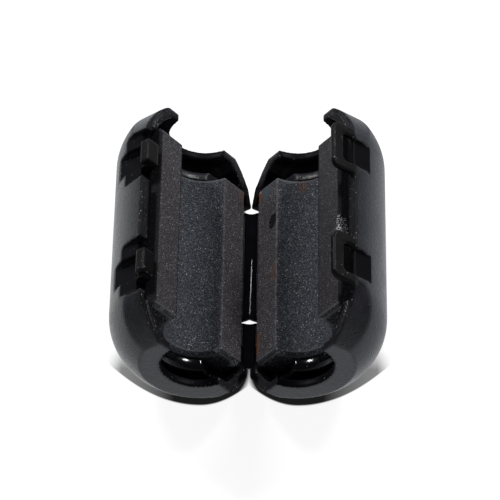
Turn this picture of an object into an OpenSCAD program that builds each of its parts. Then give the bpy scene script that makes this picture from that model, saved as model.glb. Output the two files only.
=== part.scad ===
// Clip-on ferrite bead: a split ferrite core in a hinged nylon case that snaps shut round a cable.
// It lies open like a book, on its two rounded backs, with the hinge line along Y.
// Each half is drawn with its mating face up and its hinge axis on Y, then swung up to its rest tilt:
// x runs from the hinge to the latches, y along the cable, and z = 0 is the face where the cores meet.

/* [Cable channel] */
// Diameter of the cable channel through the closed core
channel_d = 7.2; // [5:0.1:8]
// Extra radius of the openings in the case, over the channel
opening_margin = 0.25; // [0.1:0.05:0.6]

/* [Ferrite core] */
// Radius of the round back of each half core
core_r = 8; // [7.4:0.1:9]
// Width of each half core across its flat sides
core_w = 13.9; // [12.6:0.1:14.6]
// Length of each half core
core_l = 22.8; // [20:0.1:30]
// Chamfer at both ends of the mating faces
face_chamfer = 0.45; // [0.1:0.05:0.8]
// Chamfer round both ends of the channel
channel_chamfer = 0.25; // [0.1:0.05:0.5]

/* [Case] */
// Thickness of the round case wall
case_wall = 1.2; // [0.9:0.05:1.6]
// Thickness of the wall beside the hinge
hinge_wall = 1; // [0.8:0.05:1.4]
// Thickness of the flat wall at each end
end_wall = 0.9; // [0.7:0.05:1.4]
// Thickness of the stop that holds each end of a core
stop_wall = 1.4; // [0.4:0.05:2]
// Depth of the top of each stop below the mating face
stop_depth = 2.4; // [1.5:0.1:2.8]
// Extra radius of the saddle in each stop, over the channel
saddle_margin = 0.5; // [0.2:0.05:1]
// Empty length between each stop and its end wall
end_room = 1.35; // [0.8:0.05:3]
// How far the case rim lies below the mating face
rim_setback = 0.45; // [0.3:0.05:0.8]

/* [Domed ends] */
// Length over which each end domes in
dome_l = 5.75; // [4:0.05:6]
// Radius of the arc that each end domes in by
dome_arc = 6.7; // [6.2:0.1:9]
// Length over which the side by the latches draws in toward each end
shoulder_l = 7.6; // [6:0.05:9]
// The same for the side by the hinge
hinge_shoulder_l = 7.3; // [6:0.05:9]
// Radius of the arc that the sides draw in by
shoulder_arc = 9.5; // [9.2:0.1:16]

/* [Fits] */
// Radial room round the back of each core
core_clearance = 0.1; // [0.05:0.05:0.3]
// Room beside and beyond each core
side_clearance = 0.2; // [0.1:0.05:0.4]
// Room between each core end and its stop
end_clearance = 0.1; // [0.05:0.05:0.3]
// Room between a closed loop and the recess that it lies in
loop_clearance = 0.1; // [0.05:0.05:0.2]
// Distance from the hinge axis to the wall beside it
hinge_gap = 0.05; // [0.05:0.01:0.15]

/* [Latches] */
// Distance between the two latches along the bead
latch_spacing = 14; // [11:0.1:16]
// Width of each loop along the bead
loop_w = 5.9; // [5:0.1:6.6]
// Width of the window in each loop
window_w = 3.4; // [2.8:0.1:4]
// Thickness of each loop
loop_t = 0.6; // [0.5:0.05:0.8]
// How far each loop stands above the mating face
loop_h = 2.4; // [2.1:0.05:2.8]
// Width of the bar across the top of each loop
loop_bar = 1.35; // [1:0.05:1.5]
// Radius of the outer corners of each loop
loop_corner = 1; // [0.4:0.1:1.2]
// Radius of the corners of each window
window_corner = 0.35; // [0.2:0.05:0.6]
// Room between each catch and the sides of its window
catch_room = 0.25; // [0.1:0.05:0.4]
// How far each catch stands above the mating face
catch_rise = 0.2; // [0.1:0.05:0.35]
// Thickness of each catch from its outer face inward
catch_t = 1.7; // [1.5:0.05:1.9]
// Depth of the undercut below each catch
undercut = 1.4; // [1:0.05:1.6]

/* [Hinge] */
// Length of the short film strap
short_strap_l = 5.4; // [4:0.1:6]
// Length of the long film strap
long_strap_l = 13.5; // [11:0.1:13.5]
// Length of the slot between the two straps
slot_l = 0.9; // [0.6:0.05:1.2]
// Length of the open notch past the long strap
notch_l = 1.05; // [0.6:0.05:1.2]
// Thickness of the film where it meets the walls
film_t = 0.3; // [0.2:0.05:0.5]
// Depth of the step in each hinge wall that frees the film
film_step = 0.35; // [0.2:0.05:0.5]
// Length of the raised corner past each end of the film
corner_l = 1; // [0.4:0.1:1.6]
// Angle of each mating face above the floor at rest
rest_tilt = 52.5; // [40:0.5:60]

/* [Hidden] */
$fn = 96;
nylon = "#2b2b30";
film = "#232228";
ferrite = "#55504f";
cut = 1;                                            // overrun of every cutting solid
half_spacing = latch_spacing / 2;
channel_x = hinge_gap + hinge_wall + side_clearance + core_w / 2;
opening_r = channel_d / 2 + opening_margin;
saddle_r = channel_d / 2 + saddle_margin;
pocket_r = core_r + core_clearance;
case_r = pocket_r + case_wall;
latch_x = channel_x + case_r;                       // outer face of loops and catches
loop_x = latch_x - loop_t;
recess_x = loop_x - loop_clearance;
pocket_x = channel_x + core_w / 2 + side_clearance; // inner face of the wall beside the latches
stop_y = core_l / 2 + end_clearance;
room_y = stop_y + stop_wall;
wall_y = room_y + end_room;
case_y = wall_y + end_wall;                         // half of the length of the case
dome_y = case_y - dome_l;
catch_w = window_w - 2 * catch_room;
hook_z = loop_bar - loop_h + loop_clearance;        // underside of a catch, under a closed loop bar
recess_w = loop_w + 4 * loop_clearance;
hinge_y = -stop_y + 3 * end_clearance;              // near end of the film
slot_y = hinge_y + short_strap_l + slot_l / 2;
long_strap_y = slot_y + slot_l / 2;
notch_y = long_strap_y + long_strap_l + notch_l / 2;
corner_run = corner_l + 1.5 * rim_setback;          // length of a raised corner with its slope
film_x = hinge_gap + film_step;
hinge_z = case_r - channel_x * sin(rest_tilt);      // height of the hinge axis over the floor

function at_rest(x, z) = [x * cos(rest_tilt) - z * sin(rest_tilt), x * sin(rest_tilt) + z * cos(rest_tilt)];

// ---- placing ----

// Swings a half up to its rest tilt, on the +X side
module rest() translate([0, 0, hinge_z]) rotate([0, -rest_tilt, 0]) children();

// The same on the -X side
module rest_mirrored() mirror([1, 0, 0]) rest() children();

// Turns a profile of (radius, length) about the channel axis
module round_channel() translate([channel_x, 0, 0]) rotate([90, 0, 0]) rotate_extrude() children();

module channel_rod(r, l) translate([channel_x, 0, 0]) rotate([90, 0, 0]) cylinder(r = r, h = l, center = true);

// Box given by its limits along x, y and z
module block(x, y, z) translate([x[0], y[0], z[0]]) cube([x[1] - x[0], y[1] - y[0], z[1] - z[0]]);

module at_latches() for (side = [-1, 1]) translate([0, side * half_spacing, 0]) children();

// ---- outer form of a case half ----

// Half outline of the domed barrel, with a flat ring left at each end
module dome_profile() intersection() {
    union() {
        translate([0, -dome_y]) square([case_r, 2 * dome_y]);
        translate([0, -case_y]) square([case_r - dome_arc, 2 * case_y]);
        for (side = [-1, 1]) translate([case_r - dome_arc, side * dome_y]) circle(dome_arc);
    }
    translate([0, -case_y]) square([case_r, 2 * case_y]);
}

// Upright wall that draws in past y = start_y at both ends, on the latch side (1) or the hinge side (-1)
// of x = centre_x. Past centre_x it leaves room for the whole case, whose other side has its own wall.
module drawn_in_side(side, centre_x, start_y, inset) {
    radius = shoulder_arc - inset;
    for (end = [-1, 1])
        translate([centre_x, end * start_y, -case_r - cut]) cylinder(r = radius, h = case_r + 2 * cut);
    block([centre_x - radius, centre_x + radius], [-start_y, start_y], [-case_r - cut, 2 * cut]);
    block([centre_x - max(0, side) * 2 * case_r, centre_x - min(0, side) * 2 * case_r],
          [-case_y - cut, case_y + cut], [-case_r - cut, 2 * cut]);
}

module drawn_in(inset) intersection() {
    drawn_in_side(1, latch_x - shoulder_arc, case_y - shoulder_l, inset);
    drawn_in_side(-1, channel_x - case_r + shoulder_arc, case_y - hinge_shoulder_l, inset);
}

module outer_form() intersection() {
    round_channel() dome_profile();
    drawn_in(0);
    block([hinge_gap, latch_x + cut], [-case_y - cut, case_y + cut], [-case_r - cut, 0]);
}

// ---- hollows of a case half ----

// Bed of the core, between its two stops
module core_bed() intersection() {
    channel_rod(pocket_r, 2 * stop_y);
    block([hinge_gap + hinge_wall, pocket_x], [-stop_y, stop_y], [-case_r, cut]);
}

// Room between a stop and the end wall, which follows the dome
module end_rooms() intersection() {
    round_channel() for (side = [-1, 1]) intersection() {
        union() {
            translate([case_r - dome_arc, side * dome_y]) circle(dome_arc - case_wall);
            translate([0, -case_y]) square([case_r - dome_arc, 2 * case_y]);
        }
        translate([0, side > 0 ? room_y : -wall_y]) square([case_r, end_room]);
    }
    drawn_in(case_wall);
    block([hinge_gap + hinge_wall, latch_x], [-case_y, case_y], [-case_r, cut]);
}

// Room over the two stops, and the round saddle in each
module over_stops() {
    intersection() {
        drawn_in(case_wall);
        block([hinge_gap + hinge_wall, pocket_x], [-wall_y, wall_y], [-stop_depth, cut]);
    }
    channel_rod(saddle_r, 2 * wall_y);
}

// Step that frees the film, with a round notch beside each gap in it
module film_relief() {
    block([-cut, film_x], [hinge_y, notch_y + notch_l / 2], [-rim_setback - 2 * film_t - film_step, cut]);
    for (gap = [[slot_y, slot_l], [notch_y, notch_l]])
        translate([0, gap[0], -rim_setback]) rotate([0, 90, 0])
            cylinder(d = gap[1], h = hinge_gap + hinge_wall + cut / 4);
}

// Corner that starts at the given y and slopes down to the rim on the given side
module raised_corner(start, side) upright(-cut, cut + hinge_gap + hinge_wall)
    polygon([[start, -rim_setback - cut], [start, -hinge_gap], [start + side * corner_l, -hinge_gap],
             [start + side * corner_run, -rim_setback], [start + side * corner_run, -rim_setback - cut]]);

// Rim at its setback, but level with the hinge axis in the two corners past the film
module rim_cut() difference() {
    block([-cut, latch_x + cut], [-case_y - cut, case_y + cut], [-rim_setback, cut]);
    raised_corner(hinge_y, -1);
    raised_corner(notch_y + notch_l / 2, 1);
}

// What both case halves share
module half_shell() difference() {
    outer_form();
    rim_cut();
    core_bed();
    end_rooms();
    over_stops();
    channel_rod(opening_r, 2 * (case_y + cut));
    film_relief();
}

// ---- latches ----

// Flat loop with its window, seen from outside: across is y and up is z
module loop_outline() difference() {
    union() {
        translate([-loop_w / 2, -rim_setback]) square([loop_w, rim_setback + loop_h - loop_corner]);
        translate([-loop_w / 2 + loop_corner, 0]) square([loop_w - 2 * loop_corner, loop_h]);
        for (side = [-1, 1]) translate([side * (loop_w / 2 - loop_corner), loop_h - loop_corner]) circle(loop_corner);
    }
    window_outline();
}

module window_outline() {
    translate([-window_w / 2, -case_r]) square([window_w, case_r + loop_h - loop_bar - window_corner]);
    translate([-window_w / 2 + window_corner, -case_r])
        square([window_w - 2 * window_corner, case_r + loop_h - loop_bar]);
    for (side = [-1, 1])
        translate([side * (window_w / 2 - window_corner), loop_h - loop_bar - window_corner]) circle(window_corner);
}

// Stands an outline of (y, z) up at x, to the given thickness
module upright(x, thickness) translate([x, 0, 0]) rotate([90, 0, 90]) linear_extrude(thickness) children();

module loop() upright(loop_x, loop_t) loop_outline();

// The window runs on down the round wall until it comes out of it
module window_run() upright(latch_x - catch_rise * 2, case_r) intersection() {
    window_outline();
    translate([-window_w, -case_r]) square([2 * window_w, case_r - rim_setback + cut]);
}

// Shallow seat of a closed loop, and the deeper undercut below the catch
module loop_seat() {
    block([recess_x, latch_x + cut], [-recess_w / 2, recess_w / 2], [-case_r, cut]);
    block([latch_x - undercut, latch_x + cut], [-catch_w / 2, catch_w / 2], [-case_r, hook_z]);
}

module catch_block() block([latch_x - catch_t, latch_x], [-catch_w / 2, catch_w / 2], [hook_z, catch_rise]);

// ---- nodes ----

module core_half() difference() {
    intersection() {
        channel_rod(core_r, core_l);
        block([channel_x - core_w / 2, channel_x + core_w / 2], [-core_l, core_l], [-core_r, 0]);
    }
    channel_rod(channel_d / 2, core_l + cut);
    for (side = [-1, 1]) {
        translate([0, side * core_l / 2, 0]) rotate([45, 0, 0])
            block([0, latch_x], [-face_chamfer, face_chamfer] / sqrt(2), [-face_chamfer, face_chamfer] / sqrt(2));
        translate([channel_x, side * core_l / 2, 0]) rotate([side * 90, 0, 0])
            cylinder(r1 = channel_d / 2 + channel_chamfer, r2 = channel_d / 2, h = channel_chamfer);
    }
}

module case_catch_half() color(nylon) rest_mirrored() {
    difference() {
        half_shell();
        at_latches() loop_seat();
    }
    at_latches() catch_block();
}

module case_loop_half() color(nylon) rest() {
    difference() {
        half_shell();
        at_latches() window_run();
    }
    at_latches() loop();
}

// Two thin straps of one film, moulded to both case halves
module hinge_straps() color(film) {
    top = at_rest(film_x, -rim_setback);
    low = at_rest(film_x, -rim_setback - film_t);
    section = [[-top[0], top[1]], [-low[0], low[1]], [low[0], low[1]], [top[0], top[1]]];
    for (strap = [[hinge_y, short_strap_l], [long_strap_y, long_strap_l]])
        translate([0, strap[0] + strap[1], hinge_z]) rotate([90, 0, 0]) linear_extrude(strap[1]) polygon(section);
}

module core_catch_half() color(ferrite) rest_mirrored() core_half();

module core_loop_half() color(ferrite) rest() core_half();

case_catch_half();
case_loop_half();
hinge_straps();
core_catch_half();
core_loop_half();
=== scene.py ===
# %% [markdown]
# # A clip-on ferrite bead, opened like a book
# The bead is two half-round ferrite cores in a black nylon case. The case is one moulding: two shells
# joined by a film hinge, with two latch loops on one shell and two catches on the other. The solids come
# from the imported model. This lesson dresses them: it softens the edges of the mouldings, chips the
# ceramic, draws the thin film again, gives each piece a procedural material, and lights the bead like a
# small product on a white table.

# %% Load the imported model
import math

import bmesh
import bpy
import numpy as np
from mathutils import Matrix, Vector, noise


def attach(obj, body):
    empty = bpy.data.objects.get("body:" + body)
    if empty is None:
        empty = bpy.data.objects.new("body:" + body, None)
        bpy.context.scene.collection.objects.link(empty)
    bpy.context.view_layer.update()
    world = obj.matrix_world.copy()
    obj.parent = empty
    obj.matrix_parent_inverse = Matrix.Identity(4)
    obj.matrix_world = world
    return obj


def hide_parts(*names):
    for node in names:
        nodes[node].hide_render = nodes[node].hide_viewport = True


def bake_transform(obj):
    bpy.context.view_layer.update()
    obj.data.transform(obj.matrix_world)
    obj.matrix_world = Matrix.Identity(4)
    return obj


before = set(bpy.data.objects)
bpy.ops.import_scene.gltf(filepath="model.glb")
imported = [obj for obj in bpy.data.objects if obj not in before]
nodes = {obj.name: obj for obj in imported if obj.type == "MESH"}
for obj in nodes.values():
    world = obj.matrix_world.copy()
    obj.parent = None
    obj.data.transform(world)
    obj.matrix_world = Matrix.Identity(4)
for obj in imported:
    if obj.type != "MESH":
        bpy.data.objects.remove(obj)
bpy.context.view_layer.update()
MM = 0.001
print("nodes:", sorted(nodes))

# %% [markdown]
# ## The camera
# The bead is seen from its near end, from well above it, with a long lens, so its two barrels hardly
# converge. Three turns place the camera: it is tipped up from looking straight down, and leans by less
# than a degree.

# %% Camera
cam_data = bpy.data.cameras.new("camera")
cam_data.sensor_width = 36
cam_data.lens = 209.2
cam_data.clip_start = 0.01
cam_data.clip_end = 5
camera = bpy.data.objects.new("camera", cam_data)
camera.location = Vector((6.047, -177.571, 256.057)) * MM
camera.rotation_euler = [math.radians(turn) for turn in (35.65, 0.79, 0.83)]
bpy.context.scene.collection.objects.link(camera)
bpy.context.scene.camera = camera
print("camera", round(camera.location.length / MM), "mm from the middle of the floor")

# %% [markdown]
# ## The frame of one half
# Each half leans on its round back, turned about the hinge. Most shapes are simplest in the half's own
# frame: x runs from the hinge to the latches, y along the cable, and z = 0 is the mating face. A turn
# about the hinge axis takes a half from its own frame to the table, and its inverse brings it back.

# %% Frame of a half
TILT = math.radians(52.5)
HINGE_Z = 2.7945 * MM
CHANNEL_X = 8.2
SIDE = {"catch": -1, "loop": 1}


def to_table(half):
    return Matrix.Translation((0, 0, HINGE_Z)) @ Matrix.Rotation(-SIDE[half] * TILT, 4, "Y")


for half in SIDE:
    axis = to_table(half) @ Vector((SIDE[half] * CHANNEL_X * MM, 0, 0))
    print(half, "channel axis at", [round(v / MM, 2) for v in axis])

# %% [markdown]
# ## Re-skinning a solid
# A moulding or a pressed ceramic has no perfectly sharp edge. The solid is copied into its own frame,
# where its walls line up with the axes, and covered with a fine, even skin of small squares (a voxel
# remesh). A few rounds of smoothing then relax every edge to a small radius, and the flats stay flat.
# Bevelling each edge would give a neater mesh, but fails where many small facets meet.

# %% Even skin over a solid
def apply_modifiers(piece):
    bpy.context.view_layer.update()
    graph = bpy.context.evaluated_depsgraph_get()
    old = piece.data
    piece.data = bpy.data.meshes.new_from_object(piece.evaluated_get(graph))
    piece.modifiers.clear()
    bpy.data.meshes.remove(old)


def smooth(piece, rounds, factor=0.5, group=""):
    relax = piece.modifiers.new("relax", "SMOOTH")
    relax.factor, relax.iterations, relax.vertex_group = factor, rounds, group
    apply_modifiers(piece)


def reskinned(name, node_name, half, voxel_mm, rounds):
    mesh = nodes[node_name].data.copy()
    mesh.transform(to_table(half).inverted())
    piece = bpy.data.objects.new(name, mesh)
    bpy.context.scene.collection.objects.link(piece)
    skin = piece.modifiers.new("skin", "REMESH")
    skin.mode, skin.voxel_size = "VOXEL", voxel_mm * MM
    apply_modifiers(piece)
    smooth(piece, rounds)
    return piece


print("skin helpers ready")

# %% [markdown]
# ## Working on all points at once
# Most shaping below is done on a table with one row for each point of a mesh. A rule in numbers is exact
# and quick on a fine skin, and a sculpting brush is neither. What a rule did to each point can be
# stored on the mesh, for a material to read.

# %% Points of a mesh
def rows_of(mesh, what):
    rows = np.empty(len(mesh.vertices) * 3, dtype=np.float32)
    mesh.vertices.foreach_get(what, rows)
    return rows.reshape(-1, 3).astype(float)


def points_of(mesh):
    """Corner points in mm, one row each."""
    return rows_of(mesh, "co") / MM


def normals_of(mesh):
    return rows_of(mesh, "normal")


def move_points(mesh, points):
    mesh.vertices.foreach_set("co", (points * MM).astype(np.float32).ravel())
    mesh.update()


def store(mesh, name, values):
    """Keep one number per corner point, for a material to read."""
    layer = mesh.attributes.new(name, "FLOAT", "POINT")
    layer.data.foreach_set("value", np.clip(values, 0, 1).astype(np.float32))


print("point helpers ready")

# %% [markdown]
# ## Handing a piece over
# Every shell and core ends in the same steps: it goes back to the table, is shaded smooth, rides on one
# body of the hinge, and stands in for its solid. In one function, no step can be forgotten.

# %% Finishing a piece
def finish_piece(piece, half, body, *replaced):
    piece.data.transform(to_table(half))
    for face in piece.data.polygons:
        face.use_smooth = True
    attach(piece, body)
    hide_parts(*replaced)
    print(piece.name, "has", len(piece.data.polygons), "faces")


print("bodies to ride on:", [half + "_half" for half in SIDE])

# %% [markdown]
# ## How sharp each spot was
# Smoothing a copy moves the points near an edge a lot and the points on a flat hardly at all. The length
# of that move is a cheap measure of edges: materials use it for wear, and the ceramic uses it to decide
# where it may chip.

# %% Measure of edges
def edge_measure(piece, rounds, full_mm):
    probe = bpy.data.objects.new("probe", piece.data.copy())
    bpy.context.scene.collection.objects.link(probe)
    smooth(probe, rounds)
    before, after = points_of(piece.data), points_of(probe.data)
    move = np.einsum("ij,ij->i", before - after, normals_of(piece.data))
    bpy.data.objects.remove(probe)
    return np.clip(move / full_mm, -1, 1)


def noise_at(points, size_mm, shift=0.0):
    offset = Vector((shift, 0.37 * shift, -0.71 * shift))
    return np.array([noise.noise(Vector(p) / size_mm + offset) for p in points])


print("edge measure ready")

# %% [markdown]
# ## The sizes of a shell
# A shell is a barrel round the channel, whose ends dome in by an arc. Several steps need to know how far
# out its skin lies. That could be measured, but a rule stays exact while the mesh is worked.

# %% Sizes of a shell
SHELL_VOXEL = 0.166
SKIN_R, DOME_Y, DOME_ARC = 9.3, 9.4, 6.7
LATCH_Y, RIM_Z = 7.0, -0.45
STOP_Y, STOP_WALL, SADDLE_R = 11.5, 1.4, 4.1


def skin_radius(along):
    """Distance from the channel axis to the outside, this far along from the middle."""
    past = np.clip(along - DOME_Y, 0, DOME_ARC * 0.99)
    return SKIN_R - DOME_ARC + np.sqrt(DOME_ARC ** 2 - past ** 2)


print("skin radius in the middle and near an end:", [round(float(skin_radius(y)), 2) for y in (0, 15)])

# %% [markdown]
# ## Rounded crests on the ribs
# A rib holds each end of a core. The tool that cut its saddle had a rounded nose, so the crest is a
# quarter circle. The points of the saddle are moved outwards along that circle. A bevel modifier would
# round every other edge of the shell too.

# %% Crests of the ribs
CREST_Y, CREST_R = 12.0, 1.0
PAST_RIB, INSIDE_SADDLE = 0.15, 0.3


def round_crests(points, side):
    along = np.abs(points[:, 1])
    across = points[:, 0] * side - CHANNEL_X
    reach = np.hypot(across, points[:, 2])
    past = np.clip(along - CREST_Y, 0, CREST_R * 0.98)
    wanted = SADDLE_R + (CREST_R - np.sqrt(CREST_R ** 2 - past ** 2))
    on_rib = (along > STOP_Y) & (along < STOP_Y + STOP_WALL + PAST_RIB) & (points[:, 2] < 0.05)
    on_rib &= (reach < wanted) & (reach > SADDLE_R - INSIDE_SADDLE)
    grow = np.where(on_rib, wanted / np.maximum(reach, 0.1), 1.0)
    points[:, 0] = (CHANNEL_X + across * grow) * side
    points[:, 2] *= grow
    return points


print("crest radius", CREST_R, "mm")

# %% [markdown]
# ## A ledge and a score in the rims
# A thick rim would sink as it cools, so the moulder hollowed it beside the core, and a shallow score
# carries the line on round each end. Both follow the rim, so the points in their path are pressed down.
# A boolean cut would leave edges too sharp for a moulding. The ledge, the score and the inside of the
# loops' windows get painted shade, kept as a number for the nylon to read.

# %% Ledge and score
LEDGE_X, LEDGE_DEPTH, LEDGE_END = 16.35, 0.8, 11.0
LEDGE_SLOPE, ABOVE_RIM = 0.05, 0.1
RECESS_REACH, RECESS_WIDER = 3.1, 0.7
CORE_SIDE_X, BLOCK_X = 15.0, 15.65
BLOCK_HALF_W = {"catch": 1.6, "loop": 0.0}
SCORE_IN, SCORE_W, SCORE_DEPTH = 1.15, 0.16, 0.2
SCORE_X, SCORE_END = 12.5, 14.2
SHADE_FOOT, WINDOW_FOOT = -1.6, -2.75
WINDOW_SHADE_X, WINDOW_HALF_W = 17.6, 1.68


def fade(value, length):
    """0 where value is below 0, and 1 from this length on."""
    return np.clip(value / length, 0, 1)


def hollow_rims(points, half):
    """Lower the ledge and press the score. Gives back the painted shade of each point, from 0 to 1."""
    x, along, z = points[:, 0] * SIDE[half], np.abs(points[:, 1]), points[:, 2].copy()
    from_latch = np.abs(along - LATCH_Y)
    at_recess = (half == "catch") & (from_latch < RECESS_REACH)
    ledge_x = np.where(at_recess, LEDGE_X + RECESS_WIDER, LEDGE_X)
    past_core, below_rim = x > CORE_SIDE_X, z < RIM_Z + ABOVE_RIM
    in_block = (from_latch < BLOCK_HALF_W[half]) & (x > BLOCK_X)
    ledge = fade(ledge_x - x, 0.12) * past_core * fade(LEDGE_END - along, 0.2)
    ledge[(z < RIM_Z - LEDGE_DEPTH) | ~below_rim | in_block] = 0
    points[:, 2] = z + ledge * (RIM_Z - LEDGE_DEPTH + LEDGE_SLOPE * (z - RIM_Z) - z)
    depth = skin_radius(along) - np.hypot(x - CHANNEL_X, z)
    score = np.exp(-((depth - SCORE_IN) / SCORE_W) ** 2) * (z > RIM_Z - 0.12) * (x > SCORE_X)
    score *= fade(along - LEDGE_END + 0.3, 0.3) * fade(SCORE_END - along, 0.4)
    points[:, 2] -= SCORE_DEPTH * score
    # The ledge, the loops' windows and the score get painted shade in the nylon's colour.
    dark = fade(ledge_x + 0.1 - x, 0.1) * past_core * ~in_block * (along < LEDGE_END)
    dark *= below_rim * (z > SHADE_FOOT)
    if half == "loop":
        in_window = past_core & (x < WINDOW_SHADE_X) & (from_latch < WINDOW_HALF_W)
        dark = np.maximum(dark, in_window & below_rim & (z > WINDOW_FOOT))
    return np.maximum(dark, score)


print("ledge", LEDGE_DEPTH, "mm deep, score", SCORE_DEPTH, "mm deep")

# %% [markdown]
# ## The narrow V past the film
# Past the end of the film the shells nearly touch. Their edges are drawn together, to a gap that widens
# toward the far end, and each point stays just below its own mating face, so that the bead still shuts.
# Filling the gap with a piece would tie the shells to each other.

# %% Narrow V
SEAM_Y, SEAM_FLARE_Y = 9.85, 12.0
SEAM_GAP, SEAM_SPREAD, SEAM_FLARE = 0.05, 0.16, 0.32
SEAM_REACH, SEAM_HEIGHT, BELOW_FACE = 1.3, 3, 0.03


def close_seam(points, side):
    out, up = np.abs(points[:, 0]), points[:, 2] - HINGE_Z / MM
    gap = SEAM_GAP + SEAM_SPREAD * np.clip(points[:, 1] - SEAM_Y, 0, None)
    gap += SEAM_FLARE * np.clip(points[:, 1] - SEAM_FLARE_Y, 0, None)
    clear = (up * math.cos(TILT) + BELOW_FACE) / math.sin(TILT)
    drawn = np.maximum(np.maximum(gap, clear), out * (out / SEAM_REACH) ** 2)
    here = (out < SEAM_REACH) & (points[:, 1] > SEAM_Y - 0.15) & (up < SEAM_HEIGHT)
    points[:, 0] = np.where(here, side * np.minimum(drawn, out), points[:, 0])
    return points


print("gap at the start of the V:", 2 * SEAM_GAP, "mm")

# %% [markdown]
# ## The two shells
# The steps above are put together. The squares of the skin are a sixth of a millimetre, fine enough for
# a window corner. The latch loops have to slip over the catches, so they are rounder than the rest,
# and are smoothed further.

# %% Shells
shells = {}
for half in SIDE:
    shell = reskinned(half + "_shell", "case_" + half + "_half", half, SHELL_VOXEL, 1)
    points = points_of(shell.data)
    if half == "loop":
        raised = shell.vertex_groups.new(name="raised")
        raised.add([int(i) for i in np.nonzero(points[:, 2] > -0.1)[0]], 1.0, "REPLACE")
        smooth(shell, 3, group="raised")
        points = points_of(shell.data)
    points = round_crests(points, SIDE[half])
    shaded = hollow_rims(points, half)
    move_points(shell.data, points)
    store(shell.data, "edge", edge_measure(shell, 12, 0.05))
    # Painted shade of the ledge, the score and the windows, kept for the nylon.
    store(shell.data, "shaded", shaded)
    finish_piece(shell, half, half + "_half", "case_" + half + "_half")
    move_points(shell.data, close_seam(points_of(shell.data), SIDE[half]))
    shells[half] = shell

# %% [markdown]
# ## Bevelled ends of a core
# A core is pressed from powder, fired, and ground flat on its mating faces. The ends of those faces and
# of the channel have a small bevel, which the press leaves so that they don't crumble. The points past
# a slanted plane are moved back onto it, which keeps the even skin that the chips need later.

# %% Bevels of a core
CORE_END, BEVEL = 11.4, 0.44
BORE_R = 3.6


def bevel_ends(points, half):
    """Bevel the ends of the ground faces, and the two ends of the channel."""
    along = np.abs(points[:, 1])
    past = np.clip(along + points[:, 2] - (CORE_END - BEVEL), 0, BEVEL * 1.5)
    past[points[:, 2] < -1] = 0
    points[:, 1] -= np.sign(points[:, 1]) * past / 2
    points[:, 2] -= past / 2
    across = points[:, 0] * SIDE[half] - CHANNEL_X
    reach = np.maximum(np.hypot(across, points[:, 2]), 0.1)
    past = np.clip(np.abs(points[:, 1]) - CORE_END + BORE_R + BEVEL - reach, 0, BEVEL)
    grow = 1 + past / 2 / reach
    points[:, 0] = (CHANNEL_X + across * grow) * SIDE[half]
    points[:, 1] -= np.sign(points[:, 1]) * past / 2
    points[:, 2] = np.where(points[:, 2] < -BEVEL, points[:, 2] * grow, points[:, 2])
    return points


print("bevel", BEVEL, "mm")

# %% [markdown]
# ## Worn lines
# Handling rubs the ceramic pale along the two lines of a bevel and along the edges of the channel. The
# lines follow known edges, so they are worked out from the place of each point. An edge mask alone
# would light up every chip as well.

# %% Worn lines of a core
LINE_W = 0.075
CHANNEL_WEAR = {"catch": 0.3, "loop": 0.75}


def near(value, target):
    """1 on the target, fading out over a line's width."""
    return np.exp(-((value - target) / LINE_W) ** 2)


def bevel_lines(points, half):
    """1 on the worn lines where a bevel starts and stops, and along the edges of the channel."""
    along, z = np.abs(points[:, 1]), points[:, 2]
    x = points[:, 0] * SIDE[half]
    reach = np.hypot(x - CHANNEL_X, z)
    start, top = CORE_END - BEVEL, z > -0.14
    lines = near(along, start) * top * (reach > BORE_R + 0.1)
    lines += near(z, -BEVEL) * (along > start + 0.2)
    lines += near(reach, BORE_R + BEVEL) * (along > CORE_END - 0.1)
    lines += near(along, start) * (reach < BORE_R + 0.1)
    worn = CHANNEL_WEAR[half] * near(reach, BORE_R + 0.02) * top * (along < start) * (x < CHANNEL_X)
    uneven = np.ones(len(points))
    spots = np.nonzero(worn > 0.05)[0]
    uneven[spots] = np.clip(0.5 + 1.6 * noise_at(points[spots], 0.5, 8.0), 0, 1)
    return np.clip(lines, 0, 1) * 0.8 + worn * uneven


print("worn lines", LINE_W, "mm wide")

# %% [markdown]
# ## A pit and fresh chips
# One pit and a few bigger chips sit in known places. Each is a shallow bowl with a ragged outline,
# pressed into the skin. Sculpting them would look as good, but couldn't be repeated. A row below gives
# the middle of a bowl, half its size both ways, and its depth.

# %% Pit and chips of a core
PITS = {"catch": [], "loop": [((3.80, 5.65), (0.50, 0.80), 0.12)]}
FRESH = {
    "catch": [((1.9, -11.3), (0.4, 0.25), 0.14), ((4.6, -11.1), (0.25, 0.25), 0.14),
              ((11.7, 11.3), (0.6, 0.3), 0.14)],
    "loop": [((15.15, -1.4), (0.5, 1.15), 0.30), ((4.6, -11.2), (0.25, 0.25), 0.16),
             ((12.0, 11.3), (0.5, 0.3), 0.14), ((1.5, 10.9), (0.3, 0.35), 0.10)],
}
BOWL_FLOOR = -1.2


def press_bowls(points, half, bowls):
    """Shallow bowls in the mating face. Gives back how deep inside one each point is, from 0 to 1."""
    inside = np.zeros(len(points))
    for (x, y), (half_x, half_y), depth in bowls[half]:
        away = np.hypot((points[:, 0] * SIDE[half] - x) / half_x, (points[:, 1] - y) / half_y)
        ragged = np.zeros(len(points))
        close = np.nonzero((away < 1.8) & (points[:, 2] > BOWL_FLOOR))[0]
        ragged[close] = noise_at(points[close], 0.22, 5.0)
        bowl = np.clip(1 - (away + 0.7 * ragged) ** 2, 0, 1)
        bowl[points[:, 2] < BOWL_FLOOR] = 0
        points[:, 2] -= bowl * depth
        inside = np.maximum(inside, bowl)
    return inside


print("fresh chips", {half: len(rows) for half, rows in FRESH.items()})

# %% [markdown]
# ## The two cores
# The edges of the ceramic are brittle: the points near them are pushed inwards where a noise is high,
# which breaks the edge into small chips. The skin is a little finer than a shell's, to hold them. What
# was bevelled, chipped, pressed or rubbed is stored on the mesh for the material.

# %% Cores
CORE_VOXEL = 0.13
CHIP_DEPTH, CHIP_SIZE = 0.14, 0.4


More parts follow.
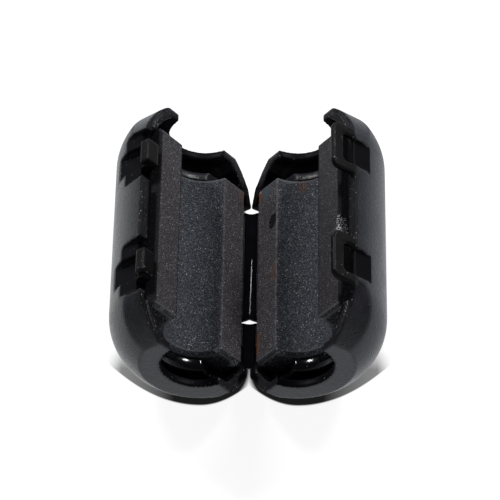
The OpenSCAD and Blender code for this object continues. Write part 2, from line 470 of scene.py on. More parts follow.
def chip_edges(piece, shift):
    """Break the edges. Gives back how far each point was pushed in, from 0 to 1."""
    points, normals = points_of(piece.data), normals_of(piece.data)
    edge = np.clip(edge_measure(piece, 10, 0.06), 0, 1)
    close = np.nonzero(edge > 0.12)[0]
    bite = np.zeros(len(points))
    rough = noise_at(points[close], CHIP_SIZE, shift)
    rough += 0.5 * noise_at(points[close], CHIP_SIZE * 0.35, shift)
    bite[close] = np.clip(rough, 0, 1) * edge[close]
    points -= normals * (bite * CHIP_DEPTH)[:, None]
    move_points(piece.data, points)
    return bite


cores = {}
for half, shift in (("catch", 3.0), ("loop", 11.0)):
    core = reskinned(half + "_core", "core_" + half + "_half", half, CORE_VOXEL, 1)
    points = bevel_ends(points_of(core.data), half)
    lines = bevel_lines(points, half)
    pit, fresh = press_bowls(points, half, PITS), press_bowls(points, half, FRESH)
    move_points(core.data, points)
    store(core.data, "chip", chip_edges(core, shift) * 1.5)
    store(core.data, "line", lines)
    store(core.data, "pit", pit * 2)
    store(core.data, "fresh", fresh * 2)
    finish_piece(core, half, half + "_half", "core_" + half + "_half")
    cores[half] = core

# %% [markdown]
# ## The film hinge
# The two shells were moulded flat with a thin strip between them, which was folded while it was warm. It
# leaves two gaps: one near the near end, and one where it stops short of the far end. Its section comes
# first: flat, sloping off to both walls, with the low crease that folding left near the middle. The
# steps across are finest at the crease. An even grid as fine would need three times as many.

# %% Section of the film
FILM_HALF_W, FILM_TOP, FILM_FOOT = 0.839, 2.838, 2.655
FILM_FLAT, FILM_EDGE = 0.60, 0.02
CREASE_R, CREASE_H = 0.055, 0.019
CREASE_SPAN = (-4.9, 2.9)
CREASE_X = (0.03, 0.17)
HALF_CROSS = [CREASE_R * share / 4 for share in range(1, 16)] + [0.25]
HALF_CROSS += [share * FILM_FLAT for share in (0.6, 0.8, 1.0)] + [0.68, 0.76, FILM_HALF_W]
CROSS = [-x for x in reversed(HALF_CROSS)] + [0.0] + HALF_CROSS


def crease(x, y):
    start, end = CREASE_SPAN
    here = fade(y - start, 0.8) * fade(end - y, 0.25)
    middle = CREASE_X[0] + (CREASE_X[1] - CREASE_X[0]) * (y - start) / (end - start)
    return CREASE_H * here * max(0.0, 1 - abs(x - middle) / CREASE_R)


print(len(CROSS), "points across the film")

# %% [markdown]
# ## A strap of film
# The section is repeated along a strap, between two ends that needn't be straight. A box with a bevel
# would be simpler, but has no points along it to bend with.

# %% A strap
def strap(mesh, start, end, rows):
    """A strip whose two ends follow start(x) and end(x), all in mm."""
    tops, feet = [], []
    for row in range(rows + 1):
        share = row / rows
        top, foot = [], []
        for x in CROSS:
            y = start(x) * (1 - share) + end(x) * share
            slope = max(0.0, abs(x) - FILM_FLAT) / (FILM_HALF_W - FILM_FLAT)
            z = FILM_TOP - slope * (FILM_TOP - FILM_FOOT - FILM_EDGE) + crease(x, y)
            top.append(mesh.verts.new(Vector((x, y, z)) * MM))
            foot.append(mesh.verts.new(Vector((x, y, FILM_FOOT)) * MM))
        tops.append(top)
        feet.append(foot)
    last = len(CROSS) - 1
    for row in range(rows):
        for step in range(last):
            a, b = tops[row], tops[row + 1]
            mesh.faces.new((a[step], a[step + 1], b[step + 1], b[step]))
            a, b = feet[row], feet[row + 1]
            mesh.faces.new((a[step], b[step], b[step + 1], a[step + 1]))
        for step in (0, last):
            mesh.faces.new((tops[row][step], tops[row + 1][step], feet[row + 1][step], feet[row][step]))
    for row in (0, rows):
        for step in range(last):
            mesh.faces.new((tops[row][step], tops[row][step + 1], feet[row][step + 1], feet[row][step]))


print("strap ready")

# %% [markdown]
# ## Both straps
# Hot nylon shrinks most where it is free, so the straps' ends are bowed.

# %% Film
STRAP_ENDS = (-11.2, -5.62), (-5.12, 8.76)


def bow(x):
    """0 on the middle line, 1 at the sides of the film."""
    return (x / FILM_HALF_W) ** 2


def peak(x):
    """1 on the middle line, where the long strap's near end dips, and 0 from half way out."""
    return max(0.0, 1 - abs(x) / 0.45) ** 1.3


mesh = bmesh.new()
(near_start, near_end), (far_start, far_end) = STRAP_ENDS
strap(mesh, lambda x: near_start, lambda x: near_end + 0.22 * bow(x), 60)
strap(mesh, lambda x: far_start - 0.22 * bow(x) + 0.14 * peak(x), lambda x: far_end + 0.30 * bow(x), 150)
bmesh.ops.recalc_face_normals(mesh, faces=mesh.faces)
film = bpy.data.objects.new("hinge_film", bpy.data.meshes.new("hinge_film"))
mesh.to_mesh(film.data)
mesh.free()
for face in film.data.polygons:
    face.use_smooth = abs(face.normal.z) > 0.4
bpy.context.scene.collection.objects.link(film)
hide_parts("hinge_straps")
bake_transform(film)
print("film", len(film.data.polygons), "faces")

# %% [markdown]
# ## Small helpers for materials
# A material is a graph of nodes. `node` adds one, sets its values and links its inputs in one line, so
# that the recipes below read from top to bottom.

# %% Node helpers
def node(tree, kind, inputs=None, **settings):
    made = tree.nodes.new(kind)
    for key, value in settings.items():
        setattr(made, key, value)
    for key, value in (inputs or {}).items():
        if isinstance(value, bpy.types.NodeSocket):
            tree.links.new(value, made.inputs[key])
        else:
            made.inputs[key].default_value = value
    return made


def maths(tree, operation, a, b=0.0, clamp=False):
    return node(tree, "ShaderNodeMath", {0: a, 1: b}, operation=operation, use_clamp=clamp).outputs[0]


def ramp(tree, value, low, high, bottom=0.0, top=1.0):
    """bottom below low, top above high."""
    spread = {"Value": value, "From Min": low, "From Max": high, "To Min": bottom, "To Max": top}
    return node(tree, "ShaderNodeMapRange", spread).outputs["Result"]


def blend_colours(tree, factor, a, b):
    return node(tree, "ShaderNodeMix", {0: factor, 6: a, 7: b}, data_type="RGBA").outputs[2]


print("node helpers ready")

# %% [markdown]
# ## Groups, materials and what they read
# An effect that serves twice is made once, as a node group with its own sockets, and placed in each
# material. Copied nodes would have to be changed in every copy.

# %% Groups and materials
def new_group(name, inputs, outputs):
    """An empty node group. Inputs are (name, kind, value), outputs (name, kind)."""
    tree = bpy.data.node_groups.new(name, "ShaderNodeTree")
    for label, kind, value in inputs:
        socket = tree.interface.new_socket(label, in_out="INPUT", socket_type="NodeSocket" + kind)
        socket.default_value = value
    for label, kind in outputs:
        tree.interface.new_socket(label, in_out="OUTPUT", socket_type="NodeSocket" + kind)
    return tree, tree.nodes.new("NodeGroupInput").outputs, tree.nodes.new("NodeGroupOutput").inputs


def placed_group(tree, group, inputs):
    """A copy of a group in this tree, with its values set and its inputs linked."""
    return node(tree, "ShaderNodeGroup", inputs, node_tree=group).outputs


def new_material(name, roughness):
    made = bpy.data.materials.new(name)
    made.use_nodes = True
    shader = made.node_tree.nodes["Principled BSDF"]
    shader.inputs["Roughness"].default_value = roughness
    return made, made.node_tree, shader


def place(tree):
    return node(tree, "ShaderNodeTexCoord").outputs["Object"]


def kept(tree, name):
    """A number stored on the mesh."""
    return node(tree, "ShaderNodeAttribute", attribute_name=name).outputs["Fac"]


def colour(r, g, b):
    return (r, g, b, 1.0)


print("group and material helpers ready")

# %% [markdown]
# ## Grain of a moulded or sintered skin
# Both materials have a fine skin: the nylon copies the spark-eroded wall of its mould, and the ferrite
# shows the grains it was sintered from. One group makes such a skin at any scale: fine noise, dimples
# and a slower swell are added to a height, which drives a Bump node. Its mottle shifts colour and
# roughness by a little. The grain is far too fine to be cut into the mesh.

# %% Group: fine skin
skin, into, out = new_group(
    "fine_skin",
    [("Place", "Vector", (0, 0, 0)), ("Grain per m", "Float", 5000.0), ("Mottle per m", "Float", 300.0)],
    [("Height", "Float"), ("Mottle", "Float"), ("Speck", "Float")])
where, per_m = into["Place"], into["Grain per m"]
wide = maths(skin, "MULTIPLY", per_m, 0.35)
coarse = node(skin, "ShaderNodeTexNoise", {"Vector": where, "Scale": into["Mottle per m"], "Detail": 4.0})
fine = node(skin, "ShaderNodeTexNoise", {"Vector": where, "Scale": per_m, "Detail": 2.0})
cells = node(skin, "ShaderNodeTexVoronoi", {"Vector": where, "Scale": per_m})
swell = node(skin, "ShaderNodeTexNoise", {"Vector": where, "Scale": wide, "Detail": 2.0})
dimples = maths(skin, "MULTIPLY", cells.outputs["Distance"], 0.6)
relief = maths(skin, "ADD", fine.outputs["Fac"], dimples)
skin.links.new(maths(skin, "ADD", relief, maths(skin, "MULTIPLY", swell.outputs["Fac"], 0.8)), out["Height"])
skin.links.new(coarse.outputs["Fac"], out["Mottle"])
skin.links.new(fine.outputs["Fac"], out["Speck"])
print(skin.name, "made")

# %% [markdown]
# ## A ragged spot
# Rust stains sit in known places. This group gives a mask that is 1 inside a ragged spot round a centre
# and 0 outside: the distance to the centre is measured, and a noise is added to it before it is cut off.
# Painting the stains by hand would need an image.

# %% Group: ragged spot
spot, into, out = new_group(
    "ragged_spot",
    [("Place", "Vector", (0, 0, 0)), ("Centre", "Vector", (0, 0, 0)), ("Radius", "Float", 0.001),
     ("Stretch", "Vector", (1, 1, 1)), ("Ragged", "Float", 0.5)],
    [("Mask", "Float")])
away = node(spot, "ShaderNodeVectorMath", {0: into["Place"], 1: into["Centre"]}, operation="SUBTRACT").outputs[0]
scaled = node(spot, "ShaderNodeVectorMath", {0: away, 1: into["Stretch"]}, operation="MULTIPLY").outputs[0]
reach = node(spot, "ShaderNodeVectorMath", {0: scaled}, operation="LENGTH").outputs["Value"]
wobble = node(spot, "ShaderNodeTexNoise", {"Vector": into["Place"], "Scale": 1800.0, "Detail": 3.0})
wobble = maths(spot, "SUBTRACT", wobble.outputs["Fac"], 0.5)
uneven = maths(spot, "MULTIPLY", wobble, maths(spot, "MULTIPLY", into["Ragged"], 4.0))
border = maths(spot, "ADD", maths(spot, "DIVIDE", reach, into["Radius"]), uneven)
spot.links.new(ramp(spot, border, 1.0, 0.5), out["Mask"])
print(spot.name, "made")

# %% [markdown]
# ## Grains and painted glints
# Broken crystals in the ceramic throw tiny points of light, which are painted into its colour as glints,
# and the nylon gets bright specks on its edges. The group splits space into cells, gives each cell a random
# number, and marks the few cells whose number is high. It also gives out the number itself, to make the
# grains between the glints uneven.

# %% Group: grains and painted glints
grains_and_painted_glints, into, out = new_group(
    "grains_and_painted_glints",
    [("Place", "Vector", (0, 0, 0)), ("Cells per m", "Float", 7000.0), ("Rarity", "Float", 0.9)],
    [("Mask", "Float"), ("Lot", "Float")])
cells = node(grains_and_painted_glints, "ShaderNodeTexVoronoi", {"Vector": into["Place"], "Scale": into["Cells per m"]})
lot = node(grains_and_painted_glints, "ShaderNodeSeparateColor", {0: cells.outputs["Color"]}).outputs[0]
lucky = maths(grains_and_painted_glints, "GREATER_THAN", lot, into["Rarity"])
core_of = ramp(grains_and_painted_glints, cells.outputs["Distance"], 0.6, 0.35)
grains_and_painted_glints.links.new(maths(grains_and_painted_glints, "MULTIPLY", lucky, core_of), out["Mask"])
grains_and_painted_glints.links.new(lot, out["Lot"])
print(grains_and_painted_glints.name, "made")

# %% [markdown]
# ## Black nylon
# The case is black polyamide, and one mould gave it several finishes. The round outside has a fine satin
# grain. The ribs inside the cable openings were cut by a polished tool and are glossy. The rims, the
# catches and the loops are duller and a little brown, with bright specks on their edges. The recesses round
# them, the windows, the cable openings and the hinge side past the film are duller still, and get painted
# shade that makes them near black. Each face is sorted into its finish by where it lies in the half's own frame.

# %% Finishes of the nylon, face by face
OPENING_R, RING_Y = 3.85, 14.1
LOOP_X, LOOP_HALF_W = 16.75, 3.0
CATCH_X, CATCH_HALF_W, CATCH_FOOT = 15.7, 1.55, -1.05
RECESS_X, RECESS_HALF_W = 14.4, {"catch": 3.3, "loop": 1.78}
WINDOW_X = 17.14
FINISHES = ("satin", "polished", "rim", "latch", "deep")


def own_face_centres(piece, half):
    back = to_table(half).inverted()
    centres = np.array([(back @ face.center)[:] for face in piece.data.polygons]) / MM
    centres[:, 0] *= SIDE[half]
    return centres


def sort_nylon(shell, half):
    x, y, z = own_face_centres(shell, half).T
    along, reach = np.abs(y), np.hypot(x - CHANNEL_X, z)
    from_latch = np.abs(along - LATCH_Y)
    in_recess = (reach < skin_radius(along) - 0.07) & (x > RECESS_X) & (z > -6)
    in_recess &= from_latch < RECESS_HALF_W[half]
    in_opening = (reach < OPENING_R + 0.12) & (along >= RING_Y)
    in_window = (x < WINDOW_X) & (x > CORE_SIDE_X) & (z > -2.8) & (from_latch < 1.72)
    by_film = (x < 1.0) & (z > -1.6) & (along > 8.6)
    by_film |= (x < 2.4) & (z > -2.2) & (along > 11.4)
    rim_depth = np.where(x > LEDGE_X, 0.30, 0.05)
    places = {
        "polished": (y < 0) & (along > STOP_Y - 0.3) & (along < RING_Y) & (reach < OPENING_R + 2.2),
        # These faces take the near-black finish: painted shade for recesses, windows, openings and the hinge
        # side.
        "deep": in_recess | in_opening | in_window | by_film,
        "rim": (z > RIM_Z - rim_depth) & (along < 14.9) & (x > 1.0),
    }
    if half == "loop":
        places["latch"] = (x > LOOP_X) & (z > RIM_Z + 0.01) & (from_latch < LOOP_HALF_W)
    else:
        places["latch"] = (x > CATCH_X) & (z > CATCH_FOOT) & (from_latch < CATCH_HALF_W)
    finish = np.zeros(len(x), dtype=np.int32)
    for name, here in places.items():
        finish[here] = FINISHES.index(name)
    shell.data.polygons.foreach_set("material_index", finish)
    count = {name: int((finish == kind).sum()) for kind, name in enumerate(FINISHES)}
    print(half, "faces by finish", count)


print("finishes:", FINISHES)

# %% [markdown]
# ## One recipe for every nylon
# The finishes differ in colour, gloss and grain, not in kind, so one recipe makes them all. Two near
# blacks are mixed by the mottle. Edges get bright specks and another roughness, and whatever lies down
# in a ledge, a score or a window gets painted shade, near black. Five separate graphs would drift apart
# as they are tuned.

# %% Recipe: nylon
# The first colour is for bright specks; the second is painted shade, the near black of ledges, scores and
# windows.
BRIGHT_SPECK, PAINTED_SHADE = colour(0.34, 0.34, 0.36), colour(0.0012, 0.0012, 0.0020)


def nylon(name, dark, pale, gloss, grain_depth, specks, sheen):
    """gloss is the roughness where it is smoothest, and what mottle and edges add to it. The bright specks
    are set by how rare they are, and their strength away from edges."""
    made, tree, shader = new_material(name, gloss[0])
    where = place(tree)
    grain = placed_group(tree, skin, {"Place": where, "Grain per m": 6500.0, "Mottle per m": 420.0})
    edge = ramp(tree, kept(tree, "edge"), 0.08, 0.4)
    mottle = ramp(tree, grain["Mottle"], 0.3, 0.7)
    tone = blend_colours(tree, mottle, colour(*dark), colour(*pale))
    speck = placed_group(tree, grains_and_painted_glints, {"Place": where, "Cells per m": 8500.0, "Rarity": specks[0]})
    speck = maths(tree, "MULTIPLY", speck["Mask"], ramp(tree, edge, 0.0, 1.0, specks[1], 1.0))
    tone = blend_colours(tree, speck, tone, BRIGHT_SPECK)
    # Painted shade in ledges, scores and windows.
    tone = blend_colours(tree, kept(tree, "shaded"), tone, PAINTED_SHADE)
    tree.links.new(tone, shader.inputs["Base Color"])
    rough = ramp(tree, grain["Mottle"], 0.3, 0.7, gloss[0], gloss[0] + gloss[1])
    rough = maths(tree, "ADD", rough, maths(tree, "MULTIPLY", edge, gloss[2]))
    tree.links.new(rough, shader.inputs["Roughness"])
    relief = {"Height": grain["Height"], "Strength": 1.0, "Distance": grain_depth * MM}
    tree.links.new(node(tree, "ShaderNodeBump", relief).outputs[0], shader.inputs["Normal"])
    shader.inputs["IOR"].default_value = 1.5
    shader.inputs["Specular IOR Level"].default_value = sheen
    return made


print("nylon recipe ready")

# %% [markdown]
# ## The five nylons
# Each row gives a finish: its darkest and palest colour, its gloss, the depth of its grain in mm, its
# bright specks, and how strongly it mirrors. Worn nylon mirrors little, so only the moulded skin and the
# polished ribs have the full sheen. The near-black colours of the last row are painted shade.

# %% Material: the nylons
NYLONS = {
    "satin": ((0.006, 0.006, 0.009), (0.017, 0.017, 0.023),
              (0.22, 0.10, 0.18), 0.030, (0.985, 0.0), 0.5),
    "polished": ((0.002, 0.002, 0.003), (0.004, 0.004, 0.006),
                 (0.12, 0.04, 0.0), 0.003, (0.99, 0.0), 0.5),
    "rim": ((0.007, 0.0068, 0.0088), (0.020, 0.019, 0.024),
            (0.42, 0.10, 0.2), 0.030, (0.96, 0.4), 0.12),
    "latch": ((0.0036, 0.0035, 0.0037), (0.0085, 0.0081, 0.0078),
              (0.40, 0.10, -0.10), 0.026, (0.992, 0.4), 0.10),
    # Near-black colours: painted shade for recesses, windows, openings and the hinge side.
    "deep": ((0.0018, 0.0018, 0.003), (0.0062, 0.006, 0.008),
             (0.42, 0.10, 0.20), 0.020, (0.99, 0.3), 0.06),
}
nylons = [nylon(name + "_nylon", *NYLONS[name]) for name in FINISHES]
for half, shell in shells.items():
    shell.data.materials.clear()
    for made in nylons:
        shell.data.materials.append(made)
    sort_nylon(shell, half)
print("nylon on", [shell.name for shell in shells.values()])

# %% [markdown]
# ## The film's finish
# Folding stretched the film, which pulled its skin smooth. It is nearly black, with a clean gloss that
# draws the lamps as a thin bright line along the crease. The same fine skin serves, at a wider grain and
# hardly any depth, so film and shells still look like one moulding.

# %% Material: film
smooth_nylon, tree, shader = new_material("stretched_nylon", 0.16)
shader.inputs["Specular IOR Level"].default_value = 0.3
grain = placed_group(tree, skin, {"Place": place(tree), "Grain per m": 2500.0, "Mottle per m": 500.0})
tone = blend_colours(tree, grain["Mottle"], colour(0.0015, 0.0012, 0.0035), colour(0.003, 0.0024, 0.006))
tree.links.new(tone, shader.inputs["Base Color"])
tree.links.new(ramp(tree, grain["Mottle"], 0.3, 0.7, 0.12, 0.24), shader.inputs["Roughness"])
relief = {"Height": grain["Height"], "Strength": 0.12, "Distance": 0.03 * MM}
tree.links.new(node(tree, "ShaderNodeBump", relief).outputs[0], shader.inputs["Normal"])
film.data.materials.clear()
film.data.materials.append(smooth_nylon)
print("film finished")

# %% [markdown]
# ## Regions of a core
# The mating faces are ground and look brownish grey, the channel keeps the blue-grey skin of the fire,
# and bevels and ends differ from both. The outer sides, a strip along the channel's edges and the loop
# core's outer ground face get painted shade. The region follows from where a point lies and how it faces,
# so it is worked out once and kept on the mesh.

# %% Marks on the ferrite
GROUND_Z, SIDE_X = -0.49, 14.95
END_FACING, BEVEL_FACING = 0.86, 0.3


def mark_ferrite(core, half):
    back = to_table(half).inverted()
    own = np.array([(back @ Vector(p * MM))[:] for p in points_of(core.data)]) / MM
    turned = normals_of(core.data) @ np.array(back.to_3x3()).T
    x, along, z = own[:, 0] * SIDE[half], np.abs(own[:, 1]), own[:, 2]
    reach = np.hypot(x - CHANNEL_X, z)
    facing_end, outwards = np.abs(turned[:, 1]), turned[:, 0] * SIDE[half]
    at_end = along > CORE_END - BEVEL - 0.12
    ends = at_end & (facing_end > END_FACING)
    # A strip along the channel's edges that gets painted shade.
    by_channel = (reach > BORE_R - 0.13) & (reach < BORE_R + 0.22) & (z > -0.5) & (x > CHANNEL_X)
    marks = {
        "ground": (z > GROUND_Z) & (reach > BORE_R + 0.05),
        "ends": ends,
        "bevel": at_end & (facing_end > BEVEL_FACING) & ~ends & (z > -0.6),
        # The outer and side marks carry painted shade: on the loop core's outer ground face, on the outer sides,
        # and along the channel's edges.
        "outer": fade(x - CHANNEL_X, 2),
        "side": ((x > SIDE_X) & (outwards > 0.3)) | by_channel,
    }
    for name, here in marks.items():
        store(core.data, name, here.astype(float))
    print(half, "core, points ground:", int(marks["ground"].sum()), "at the ends:", int(ends.sum()))


for half, core in cores.items():
    mark_ferrite(core, half)

# %% [markdown]
# ## Colours and stains of ferrite
# Ferrite is a dark ceramic. Its broken edges are lighter, and a fresh chip has painted white glints.
# Lying on steel left rust, and one steel-blue spot. Each stain is a row with its place in mm, its radius,
# its strength and its colour, and gets a ragged mask from the group above.

# %% Colours and stains
RUST, STEEL_BLUE = colour(0.16, 0.060, 0.020), colour(0.065, 0.095, 0.12)
STAINS = {
    "catch": [((1.5, 10.6, 0), 0.5, 0.35, RUST)],
    "loop": [((1.5, 10.5, 0), 0.62, 1.0, RUST), ((2.6, 10.5, 0), 0.55, 1.0, STEEL_BLUE),
             ((1.35, -8.6, 0), 0.55, 0.7, RUST), ((1.35, -9.8, 0), 0.4, 0.55, RUST),
             ((4.2, -1.2, 0), 0.5, 0.35, RUST), ((5.8, 10.3, -2.65), 0.5, 0.4, RUST)],
}
# Painted shade on the outer ground face: 1 keeps its colour, and the loop core's is darkened.
OUTER_SHADE = {"catch": 1.0, "loop": 0.58}
BORE = colour(0.062, 0.070, 0.085), colour(0.118, 0.131, 0.155)
FLAT = colour(0.062, 0.056, 0.063), colour(0.120, 0.101, 0.104)
END_SKIN, BEVEL_SKIN = colour(0.05, 0.05, 0.06), colour(0.060, 0.064, 0.075)
DARK_GRAIN, BLOTCH = colour(0.009, 0.009, 0.011), colour(0.012, 0.012, 0.014)
# Both colours on this line are painted shade.
UNLIT, SIDE_PAINTED_SHADE = colour(0.006, 0.0055, 0.007), colour(0.006, 0.006, 0.008)
PALE_CHIP, DARK_PIT = colour(0.17, 0.175, 0.185), colour(0.004, 0.004, 0.005)
FRESH_CHIP = colour(0.05, 0.05, 0.055)
# The second colour on this line is a painted glint.
SALT, PAINTED_GLINT = colour(0.22, 0.23, 0.255), colour(0.62, 0.63, 0.65)


def stain_coats(tree, half, where):
    """A mask and a colour for each stain."""
    coats = []
    for (x, y, z), radius, strength, tint in STAINS[half]:
        centre = to_table(half) @ (Vector((SIDE[half] * x, y, z)) * MM)
        spread = {"Place": where, "Centre": centre[:], "Radius": radius * 2 * MM,
                  "Stretch": (1.6, 0.8, 1.6), "Ragged": 0.5}
        mask = placed_group(tree, spot, spread)["Mask"]
        coats.append((maths(tree, "MULTIPLY", mask, strength), tint))
    return coats


print("stains:", {half: len(rows) for half, rows in STAINS.items()})

# %% [markdown]
# ## Sintered ferrite
# The colour is built in coats, each laid over the last where its mask allows: the regions first, then
# dark grains, pale salt grains and painted glints, painted shade on the loop core's outer face, then the
# stains, and on top painted shade on the sides, the pit, the wear and the painted glints of fresh chips.
# In another order the salt would shine through the dark pit. Ferrite mirrors little, so a low sheen lets
# these dark hues show.

# %% Material: ferrite
def ferrite_for(half):
    made, tree, shader = new_material(half + "_ferrite", 0.7)
    shader.inputs["IOR"].default_value = 1.6
    shader.inputs["Specular IOR Level"].default_value = 0.2
    where = place(tree)
    grain = placed_group(tree, skin, {"Place": where, "Grain per m": 7500.0, "Mottle per m": 450.0})

    def grain_and_painted_glint_cells(cells_per_m, rarity):
        return placed_group(tree, grains_and_painted_glints, {"Place": where, "Cells per m": cells_per_m, "Rarity": rarity})

    def times(a, b):
        return maths(tree, "MULTIPLY", a, b)

    # The first cells make pale salt grains; the other two make painted glints.
    salt, painted_glint, painted_chip_glint = grain_and_painted_glint_cells(11500.0, 0.74), grain_and_painted_glint_cells(9500.0, 0.972), grain_and_painted_glint_cells(8500.0, 0.35)
    ground, pit, fresh = kept(tree, "ground"), kept(tree, "pit"), kept(tree, "fresh")
    # Painted shade on the outer sides and along the channel's edges, and on the loop core's outer ground face.
    side = kept(tree, "side")
    dim = times(times(kept(tree, "outer"), ground), 1 - OUTER_SHADE[half])
    coats = [
        (kept(tree, "ends"), END_SKIN),
        (times(kept(tree, "bevel"), 0.8), BEVEL_SKIN),
        (ramp(tree, salt["Lot"], 0.0, 0.74, 0.85, 0.0), DARK_GRAIN),
        (ramp(tree, grain["Speck"], 0.56, 0.40, 0.0, 0.5), BLOTCH),
        (times(salt["Mask"], ramp(tree, ground, 0.0, 1.0, 0.85, 0.7)), SALT),
        # Painted glints.
        (times(painted_glint["Mask"], ramp(tree, ground, 0.0, 1.0, 1.0, 0.8)), PAINTED_GLINT),
        # Painted shade on the loop core's outer ground face.
        (dim, UNLIT),
        *stain_coats(tree, half, where),
        # Painted shade on the sides and the channel's edges.
        (times(side, 0.85), SIDE_PAINTED_SHADE),
        (ramp(tree, pit, 0.02, 0.2, 0.0, 0.95), DARK_PIT),
        (ramp(tree, fresh, 0.1, 0.5, 0.0, 0.5), FRESH_CHIP),
        (kept(tree, "line"), PALE_CHIP),
        (ramp(tree, kept(tree, "chip"), 0.35, 0.9, 0.0, 0.25), PALE_CHIP),
        # Painted glints in fresh chips.
        (times(ramp(tree, fresh, 0.05, 0.3), painted_chip_glint["Mask"]), PAINTED_GLINT),
    ]
    bore, flat = [blend_colours(tree, grain["Mottle"], *pair) for pair in (BORE, FLAT)]
    tone = blend_colours(tree, ground, bore, flat)
    for mask, tint in coats:
        tone = blend_colours(tree, mask, tone, tint)
    tree.links.new(tone, shader.inputs["Base Color"])
    dull = maths(tree, "MAXIMUM", ramp(tree, pit, 0.02, 0.2), side)
    dull = maths(tree, "MAXIMUM", times(dim, 0.9), dull)
    rough = maths(tree, "MAXIMUM", ramp(tree, ground, 0.0, 1.0, 0.85, 0.6), dull)
    tree.links.new(rough, shader.inputs["Roughness"])
    relief = {"Height": grain["Height"], "Strength": 0.8, "Distance": 0.04 * MM}
    tree.links.new(node(tree, "ShaderNodeBump", relief).outputs[0], shader.inputs["Normal"])
    return made


for half, core in cores.items():
    core.data.materials.clear()
    core.data.materials.append(ferrite_for(half))
print("ferrite on", [core.name for core in cores.values()])

# %% [markdown]
# ## The table
# The table is white, and three kinds of ray see it in three ways. The camera sees plain white that
# darkens close under the bead. Black gloss mirrors a table near a window. For every other ray it is
# pale matt paint, which lights the bead from below. One lit surface would have to choose between a
# white background and a believable reflection.

# %% Floor
FLOOR_HALF = 1.5
mesh = bpy.data.meshes.new("floor")
corners = [(-1, -1), (1, -1), (1, 1), (-1, 1)]
mesh.from_pydata([(x * FLOOR_HALF, y * FLOOR_HALF, 0) for x, y in corners], [], [(0, 1, 2, 3)])
floor = bpy.data.objects.new("floor", mesh)
bpy.context.scene.collection.objects.link(floor)
paint = bpy.data.materials.new("pale_table")
paint.use_nodes = True
table = paint.node_tree
table.nodes.clear()
matt = node(table, "ShaderNodeBsdfDiffuse", {"Color": colour(0.82, 0.82, 0.82)})
print("floor", 2 * FLOOR_HALF, "m wide")

# %% [markdown]
# ## The shadow under the bead
# Where the barrels come close to the table it is nearly black. Ambient occlusion measures how much of
# the sky above a spot is covered, so this shade follows the bead into any pose. A lamp's shadow
# alone would be too faint on a floor that glows white.

# %% Contact shade
on_table = node(table, "ShaderNodeSeparateXYZ", {0: place(table)}).outputs
sideways = maths(table, "ABSOLUTE", on_table["X"])


def covered_within(reach_mm):
    """1 under open sky, 0 where all of it is covered within this reach."""
    return node(table, "ShaderNodeAmbientOcclusion", {"Distance": reach_mm * MM}, samples=16).outputs["AO"]


def step_mm(value, low, high, bottom=0.0, top=1.0):
    """A ramp between two places on the table, given in mm."""
    return ramp(table, value, low * MM, high * MM, bottom, top)


def times(*factors):
    product = factors[0]
    for factor in factors[1:]:
        product = maths(table, "MULTIPLY", product, factor)
    return product


def lighter(*shades):
    palest = shades[0]
    for other in shades[1:]:
        palest = maths(table, "MAXIMUM", palest, other)
    return palest


shade = ramp(table, covered_within(4), 0.30, 0.95, 0.015, 1.0)
open_sky = covered_within(8)
print("contact shade made")

# %% [markdown]
# ## The shadow in front
# The lamps stand behind, so the two domes throw a short dark shadow forward. Its front edge is an arc
# under each half, and it thins out to the sides. The lamps are too soft to draw it, so it is painted
# from its place on the table, and lifted where nothing stands over it.

# %% Painted shadow in front
CONTACT_X = 5.1
FRONT_Y, ARC_IN, ARC_OUT = 13.95, 100.0, 55.0
SOFT_EDGE = 0.1
from_axis = maths(table, "SUBTRACT", sideways, CONTACT_X * MM)
bend = step_mm(from_axis, -SOFT_EDGE, SOFT_EDGE, ARC_IN, ARC_OUT)
edge_y = maths(table, "SUBTRACT", times(from_axis, from_axis, bend), FRONT_Y * MM)
past_edge = maths(table, "SUBTRACT", on_table["Y"], edge_y)
band = step_mm(sideways, 7.8, 9.2, 0.012, 0.095)
band = maths(table, "ADD", band, step_mm(sideways, 9.2, 13.5, 0.0, 0.145))
band = maths(table, "ADD", band, step_mm(sideways, 13.5, 15.0, 0.0, 0.76))
band = lighter(band, step_mm(past_edge, -SOFT_EDGE, SOFT_EDGE, 1.0, 0.0), ramp(table, open_sky, 0.68, 0.80))
at_near_end = step_mm(on_table["Y"], -7.0, -9.4)
shade = node(table, "ShaderNodeMix", {0: at_near_end, 2: shade, 3: band}, data_type="FLOAT").outputs[0]
print("shadow reaches", FRONT_Y, "mm in front of the middle")

# %% [markdown]
# ## Light through the slots
# The white table shows through the slot between the straps, past the end of the film, and in the wedge
# between the domes. Occlusion alone would make it black there, so each patch is lifted back to white by
# its place, and the slot only where the bead covers it.

# %% Light through the slots
SLOT_WHITE = 1.09
slot = times(step_mm(on_table["Y"], -4.6, -4.2), step_mm(on_table["Y"], -1.8, -2.2),
             times(ramp(table, open_sky, 0.34, 0.26), step_mm(sideways, 1.1, 0.9)))
notch = times(step_mm(on_table["Y"], 9.2, 9.6), step_mm(sideways, 0.9, 0.6))
shade = lighter(shade, times(lighter(slot, notch), SLOT_WHITE))
out_of_line = maths(table, "SUBTRACT", sideways, 4.99 * MM)
past_end = maths(table, "SUBTRACT", maths(table, "ABSOLUTE", on_table["Y"]), 9.4 * MM)
from_contact = node(table, "ShaderNodeCombineXYZ", {0: out_of_line, 1: lighter(past_end, 0.0)}).outputs[0]
from_contact = node(table, "ShaderNodeVectorMath", {0: from_contact}, operation="LENGTH").outputs["Value"]
shade = lighter(shade, times(step_mm(out_of_line, 1.2, -0.5), step_mm(from_contact, 4.8, 5.4)))
print("slots lifted to", SLOT_WHITE)

# %% [markdown]
# ## The table as the camera sees it
# Most of what the camera sees of the table is light of its own, so that the background is an even
# white, times the shade made above. A little matt paint is added, so that the lamps still cast a faint
# shadow on it.

# %% Floor as the camera sees it
OWN_LIGHT, REAL_LIGHT = 0.92, 0.24


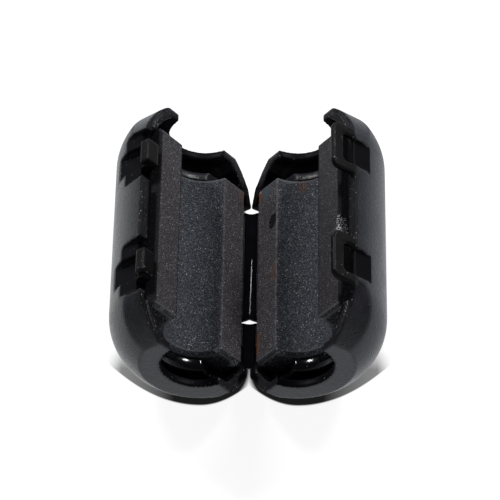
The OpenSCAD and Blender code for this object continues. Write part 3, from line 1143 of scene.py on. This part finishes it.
def grey(value):
    return node(table, "ShaderNodeCombineColor", {0: value, 1: value, 2: value}).outputs[0]


white = node(table, "ShaderNodeEmission", {"Color": grey(shade), "Strength": OWN_LIGHT})
faint = times(maths(table, "MINIMUM", shade, 1.0), REAL_LIGHT)
dim = node(table, "ShaderNodeBsdfDiffuse", {"Color": grey(faint)})
looked_at = node(table, "ShaderNodeAddShader", {0: white.outputs[0], 1: dim.outputs[0]})
print("camera's table: own light", OWN_LIGHT, "and matt paint", REAL_LIGHT)

# %% [markdown]
# ## The table as gloss mirrors it
# Black gloss has hardly a colour of its own, so what it mirrors is what one sees. The mirrored table is
# a little bluer than white, and dimmer to the right and behind, as a table near a window is. A Light
# Path node tells the three kinds of ray apart.

# %% Floor as gloss mirrors it
to_right = step_mm(on_table["X"], -30, 30)
middle = blend_colours(table, to_right, colour(0.98, 1.0, 1.0), colour(0.66, 0.68, 0.73))
behind = blend_colours(table, to_right, colour(0.55, 0.57, 0.62), colour(0.36, 0.38, 0.42))
mirrored = blend_colours(table, step_mm(on_table["Y"], 10, 60), middle, behind)
mirrored = blend_colours(table, step_mm(on_table["Y"], -12, -20), mirrored, colour(0.74, 0.76, 0.81))
mirrored = node(table, "ShaderNodeEmission", {"Color": mirrored, "Strength": 1.0})
path = node(table, "ShaderNodeLightPath").outputs
in_gloss = lighter(path["Is Glossy Ray"], path["Is Transmission Ray"])
mixed = node(table, "ShaderNodeMixShader", {0: in_gloss, 1: matt.outputs[0], 2: mirrored.outputs[0]})
mixed = {0: path["Is Camera Ray"], 1: mixed.outputs[0], 2: looked_at.outputs[0]}
surface = node(table, "ShaderNodeMixShader", mixed).outputs[0]
node(table, "ShaderNodeOutputMaterial", {"Surface": surface})
mesh.materials.append(paint)
print("floor painted for the camera and for gloss")

# %% [markdown]
# ## The room and the lamps
# Black gloss shows its surroundings. The room is dark overhead and behind, and brighter low down in
# front, so that faces that look up stay nearly black while the round sides pick up the white table. Two
# soft lamps stand behind the bead, left and right, about as high as they are far back. An image of a
# real room could do this too, but a few ramps need no file.

# %% World and lamps
world = bpy.data.worlds.new("studio")
bpy.context.scene.world = world
world.use_nodes = True
tree = world.node_tree
all_round = node(tree, "ShaderNodeTexCoord").outputs["Generated"]
towards = node(tree, "ShaderNodeSeparateXYZ", {0: all_round}).outputs
at_right = ramp(tree, towards["X"], -0.4, 0.4)
at_back = blend_colours(tree, at_right, colour(0.20, 0.205, 0.22), colour(0.11, 0.115, 0.13))
in_front = ramp(tree, towards["Y"], 0.7, -0.3)
low = blend_colours(tree, in_front, at_back, colour(0.38, 0.39, 0.42))
high = ramp(tree, towards["Z"], 0.05, 0.6)
room = blend_colours(tree, high, low, colour(0.05, 0.05, 0.055))
tree.links.new(room, tree.nodes["Background"].inputs["Color"])


LAMP_FAR, LAMP_SIZE = 500, 90
LAMP_TARGET = Vector((0, 0, 8)) * MM


def soft_lamp(name, direction, watts):
    data = bpy.data.lights.new(name, "AREA")
    data.size, data.energy = LAMP_SIZE * MM, watts
    lamp = bpy.data.objects.new(name, data)
    lamp.location = Vector(direction).normalized() * LAMP_FAR * MM
    lamp.rotation_euler = (LAMP_TARGET - lamp.location).to_track_quat("-Z", "Y").to_euler()
    bpy.context.scene.collection.objects.link(lamp)


soft_lamp("back_left_lamp", (-0.51, 0.55, 0.66), 1.25)
soft_lamp("back_right_lamp", (0.51, 0.55, 0.66), 1.35)

# %% [markdown]
# ## Finish
# Colours are shown as they are, without a film-like curve, so that white stays white.

# %% Finish
bpy.context.scene.view_settings.view_transform = "Standard"
